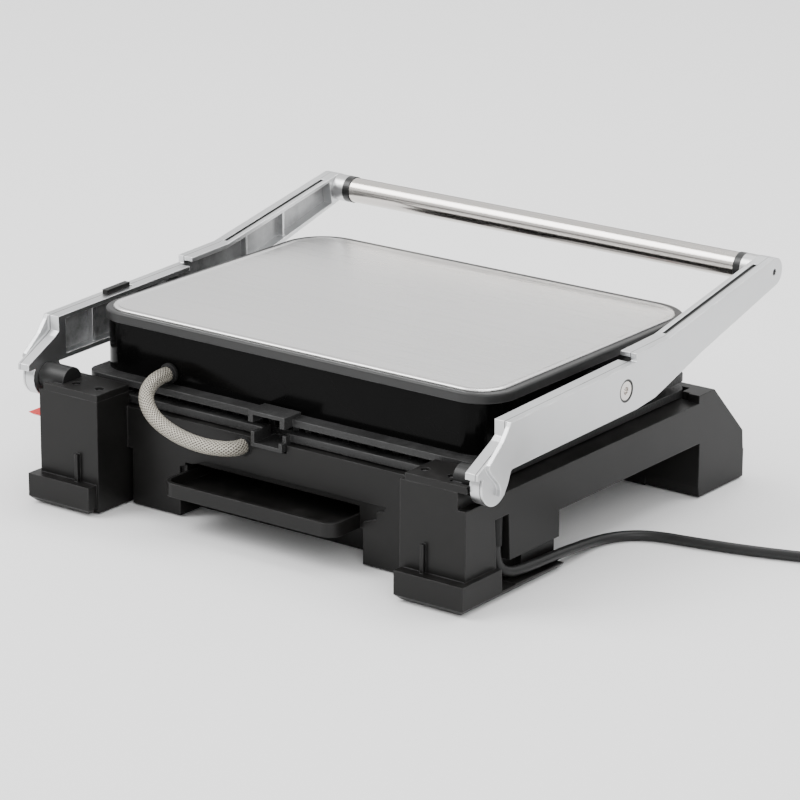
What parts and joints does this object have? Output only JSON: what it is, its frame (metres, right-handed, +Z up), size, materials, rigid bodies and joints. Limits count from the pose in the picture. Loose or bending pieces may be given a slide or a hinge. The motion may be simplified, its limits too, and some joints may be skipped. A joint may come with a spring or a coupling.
{
  "type": "panini press",
  "caption": "Contact grill with a floating hinged lid, U-shaped steel handle, ribbed plates, drip tray and mains lead.",
  "frame": {"origin": "on the worktop, in the middle of the grill's box without its mains cord", "axes": "+X to the user's right, -Y towards the handle and the user, +Z up"},
  "size_m": [0.5643, 0.3354, 0.1473],
  "materials": {
    "black_moulding": "satin",
    "gloss_black": "gloss",
    "dark_rim": "satin",
    "brushed_cover": "satin",
    "satin_aluminium": "satin",
    "polished_steel": "polished",
    "steel_panel": "satin",
    "plated_steel": "satin",
    "dark_bracket": "satin",
    "coated_iron": "matte",
    "heater_sheath": "matte",
    "bright_sheet": "satin",
    "ceramic": "matte",
    "lamp_lens": "gloss",
    "black_rubber": "matte",
    "black_cord": "matte",
    "woven_sheath": "woven",
    "brass": "satin",
    "red_plastic": "gloss"
  },
  "bodies": {
    "base": {"base_housing": "black_moulding", "base_bottom_cover": "black_moulding", "base_cover_screws": "plated_steel", "rubber_feet": "black_rubber", "rear_leg_caps": "black_moulding", "leg_cap_screws": "plated_steel", "hinge_brackets": "dark_bracket", "hinge_pins": "plated_steel", "lower_plate": "coated_iron", "lower_plate_screws": "plated_steel", "lower_heating_element": "heater_sheath", "lower_heat_reflector": "bright_sheet", "base_thermal_cutout": "ceramic", "terminal_block": "ceramic", "control_panel": "steel_panel", "thermostat": "ceramic", "indicator_lenses": "lamp_lens", "lever_spring": "plated_steel", "lead_grommet": "black_rubber", "lid_lead": "woven_sheath", "cord_strain_relief": "black_rubber", "mains_cord": "black_cord", "cord_coil": "black_cord", "plug_body": "black_cord", "plug_pins": "brass"},
    "arms": {"right_arm": "satin_aluminium", "left_arm": "satin_aluminium", "handle_tube": "polished_steel", "handle_collars": "black_moulding", "handle_screws": "plated_steel"},
    "lid": {"lid_housing": "gloss_black", "lid_rim": "dark_rim", "lid_top_cover": "brushed_cover", "upper_plate": "coated_iron", "upper_plate_screws": "plated_steel", "upper_heating_element": "heater_sheath", "upper_heat_reflector": "bright_sheet", "lid_thermal_cutout": "ceramic", "lid_pivot_bushes": "dark_bracket", "lid_pivot_screws": "polished_steel", "lid_lead_gland": "black_rubber"},
    "float_lock": {"float_lock_slider": "black_moulding"},
    "tray": {"drip_tray": "black_moulding"},
    "release_lever": {"hinge_release_lever": "red_plastic", "lever_pin": "plated_steel"},
    "dial": {"temperature_dial": "black_moulding", "dial_shaft": "plated_steel"}
  },
  "joints": [
    {"name": "arm_lift", "type": "hinge", "parent": "base", "child": "arms", "pos_m": [0, 0.1445, 0.078], "axis": [-1, 0, 0], "range_deg": [0, 178], "deforming": ["lid_lead"]},
    {"name": "lid_tilt", "type": "hinge", "parent": "arms", "child": "lid", "pos_m": [0, 0.0112, 0.1018], "axis": [-1, 0, 0], "range_deg": [-2, 1.3], "deforming": ["lid_lead"]},
    {"name": "float_lock_slide", "type": "slide", "parent": "arms", "child": "float_lock", "axis": [0, -0.9995, 0.0309], "range_m": [0, 0.01]},
    {"name": "drip_tray_slide", "type": "slide", "parent": "base", "child": "tray", "axis": [0, 1, 0], "range_m": [0, 0.09]},
    {"name": "release_lever_swing", "type": "hinge", "parent": "base", "child": "release_lever", "pos_m": [0.17, 0.139, 0.056], "axis": [-1, 0, 0], "range_deg": [0, 20], "stiffness_Nm_per_rad": 0.3, "springref_deg": -17.19},
    {"name": "temperature_turn", "type": "hinge", "parent": "base", "child": "dial", "pos_m": [0.058, -0.129, 0.05125], "axis": [0, -0.712, 0.7022], "range_deg": [0, 270]}
  ]
}
